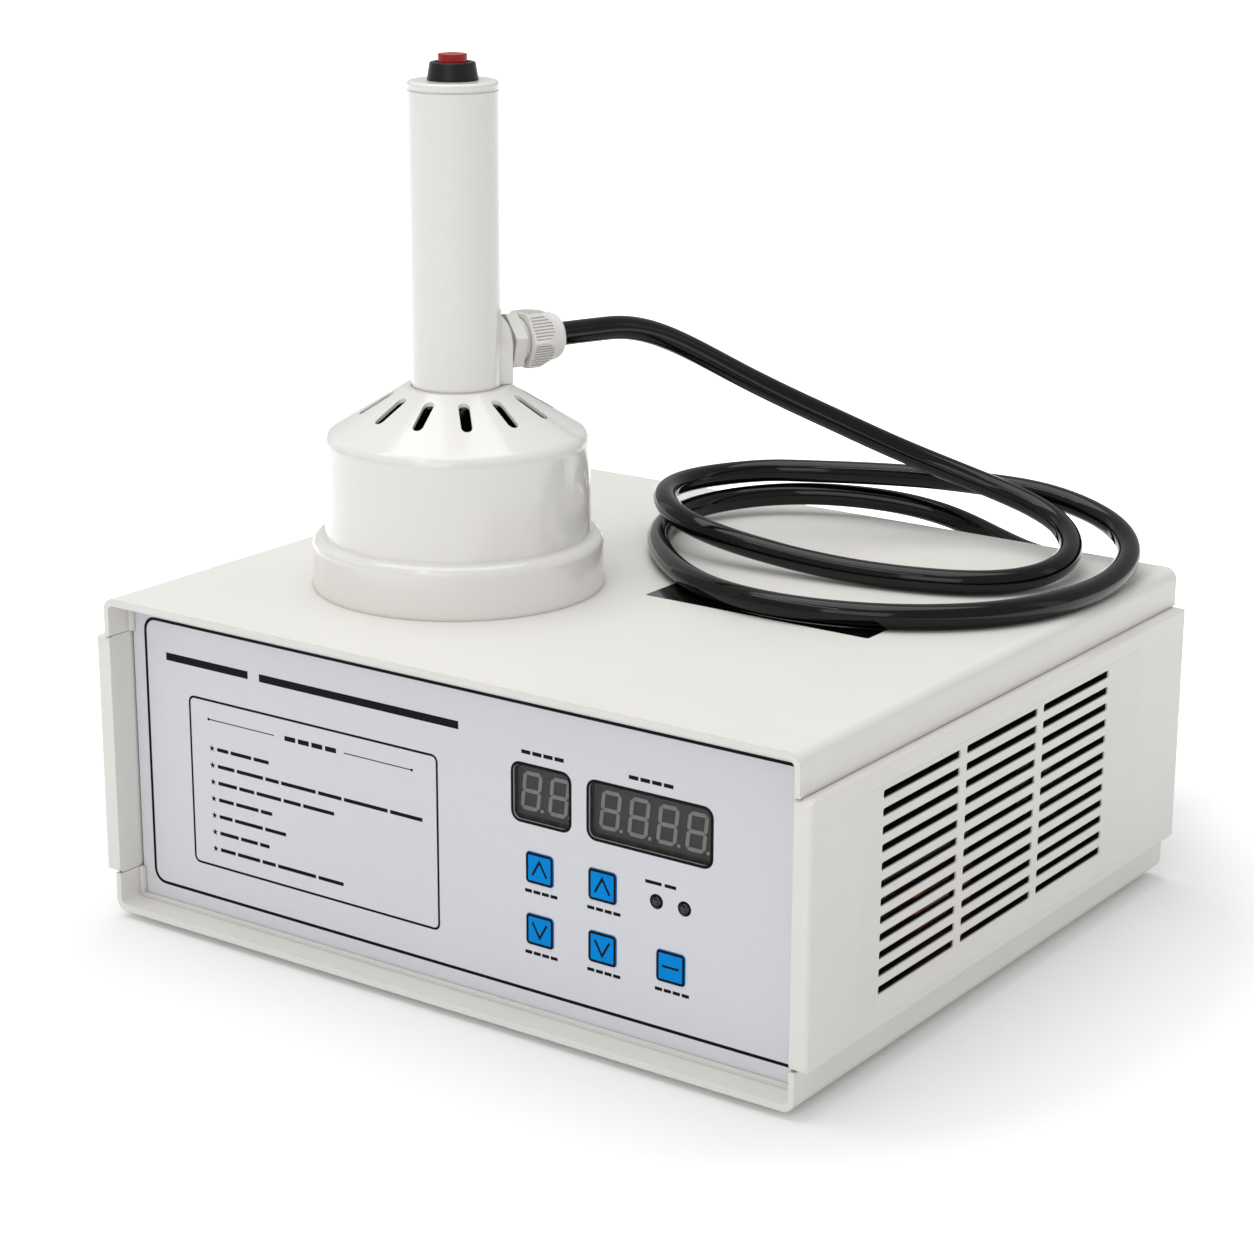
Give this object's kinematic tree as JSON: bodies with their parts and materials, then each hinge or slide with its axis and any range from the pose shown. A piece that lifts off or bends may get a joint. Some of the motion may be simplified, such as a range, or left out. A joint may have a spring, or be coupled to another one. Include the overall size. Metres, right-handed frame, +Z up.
{
  "type": "induction cap sealer",
  "caption": "Bench power box with vented sides and digit displays, and a round hand-held induction sealing head on a looped cable.",
  "frame": {"origin": "centre of the case's footprint, on the surface under the feet", "axes": "+Z up, the front panel faces -Y, +X is to the right of someone facing the front panel"},
  "size_m": [0.34, 0.3936, 0.3502],
  "materials": {
    "case_paint": "fine satin texture",
    "head_plastic": "semi-gloss",
    "gland_plastic": "satin",
    "panel_plastic": "satin",
    "rear_metal": "satin",
    "overlay_film": "smooth satin film",
    "window_film": "tinted clear",
    "digit_black": "smooth",
    "lamp_dark": "glossy",
    "key_blue": "satin",
    "black_plastic": "satin",
    "inlay_black": "high gloss",
    "board_green": "solder mask",
    "steel": "zinc plated",
    "brass": "bright",
    "fuse_glass": "clear",
    "sink_aluminium": "extruded",
    "capacitor_case": "satin",
    "core_steel": "laminated",
    "ferrite": "sintered",
    "copper": "enamelled copper",
    "former_board": "glass-filled board",
    "button_red": "glossy",
    "foot_rubber": "matte",
    "cable_sheath": "glossy"
  },
  "bodies": {
    "case": {"top_cover": "case_paint", "bottom_tray": "case_paint", "left_side_panel": "case_paint", "right_side_panel": "case_paint", "head_shell": "head_plastic", "handle_tube": "head_plastic", "handle_cap": "head_plastic", "gland_body": "gland_plastic", "gland_nut": "gland_plastic", "rear_gland_body": "gland_plastic", "rear_gland_nut": "gland_plastic", "rear_gland_locknut": "gland_plastic", "front_panel": "panel_plastic", "rear_panel": "rear_metal", "panel_overlay": "overlay_film", "display_windows": "window_film", "time_display": "digit_black", "power_display": "digit_black", "indicator_leds": "lamp_dark", "tact_switches": "black_plastic", "fan_frame": "black_plastic", "power_inlet": "black_plastic", "switch_housing": "black_plastic", "fuse_holder": "black_plastic", "power_transistors": "black_plastic", "bridge_rectifier": "black_plastic", "filter_capacitors": "black_plastic", "trigger_switch": "black_plastic", "button_bezel": "black_plastic", "top_plate": "inlay_black", "display_board": "board_green", "main_board": "board_green", "fan_guard": "steel", "case_screws": "steel", "board_screws": "steel", "panel_screws": "steel", "base_screws": "steel", "button_spring": "steel", "inlet_pins": "brass", "fuse": "fuse_glass", "heat_sink": "sink_aluminium", "resonant_capacitor": "capacitor_case", "transformer_core": "core_steel", "ferrite_bars": "ferrite", "transformer_winding": "copper", "choke_coil": "copper", "induction_coil": "copper", "coil_former": "former_board", "base_plate": "former_board", "rubber_feet": "foot_rubber", "head_cable": "cable_sheath"},
    "trigger_button": {"trigger_button": "button_red"},
    "time_up_key": {"time_up_key": "key_blue"},
    "time_down_key": {"time_down_key": "key_blue"},
    "power_up_key": {"power_up_key": "key_blue"},
    "power_down_key": {"power_down_key": "key_blue"},
    "start_key": {"start_key": "key_blue"},
    "fan_rotor": {"fan_rotor": "black_plastic"},
    "switch_rocker": {"switch_rocker": "black_plastic"},
    "fuse_cap": {"fuse_cap": "black_plastic"}
  },
  "joints": [
    {"name": "trigger_press", "type": "slide", "parent": "case", "child": "trigger_button", "axis": [0, 0, -1], "range_m": [0, 0.002], "stiffness_N_per_m": 1200, "springref_m": -0.0005, "deforming": ["button_spring"]},
    {"name": "time_up_key_press", "type": "slide", "parent": "case", "child": "time_up_key", "axis": [0, 1, 0], "range_m": [0, 0.0004], "stiffness_N_per_m": 2000, "springref_m": -0.0001},
    {"name": "time_down_key_press", "type": "slide", "parent": "case", "child": "time_down_key", "axis": [0, 1, 0], "range_m": [0, 0.0004], "stiffness_N_per_m": 2000, "springref_m": -0.0001},
    {"name": "power_up_key_press", "type": "slide", "parent": "case", "child": "power_up_key", "axis": [0, 1, 0], "range_m": [0, 0.0004], "stiffness_N_per_m": 2000, "springref_m": -0.0001},
    {"name": "power_down_key_press", "type": "slide", "parent": "case", "child": "power_down_key", "axis": [0, 1, 0], "range_m": [0, 0.0004], "stiffness_N_per_m": 2000, "springref_m": -0.0001},
    {"name": "start_key_press", "type": "slide", "parent": "case", "child": "start_key", "axis": [0, 1, 0], "range_m": [0, 0.0004], "stiffness_N_per_m": 2000, "springref_m": -0.0001},
    {"name": "fan_spin", "type": "hinge", "parent": "case", "child": "fan_rotor", "pos_m": [0.02, 0.12, 0.07], "axis": [0, 1, 0], "continuous": true},
    {"name": "mains_rocker", "type": "hinge", "parent": "case", "child": "switch_rocker", "pos_m": [-0.06, 0.1355, 0.088], "axis": [-1, 0, 0], "range_deg": [0, 24]},
    {"name": "fuse_cap_turn", "type": "hinge", "parent": "case", "child": "fuse_cap", "pos_m": [-0.06, 0.1365, 0.048], "axis": [0, 1, 0], "range_deg": [0, 60]}
  ]
}
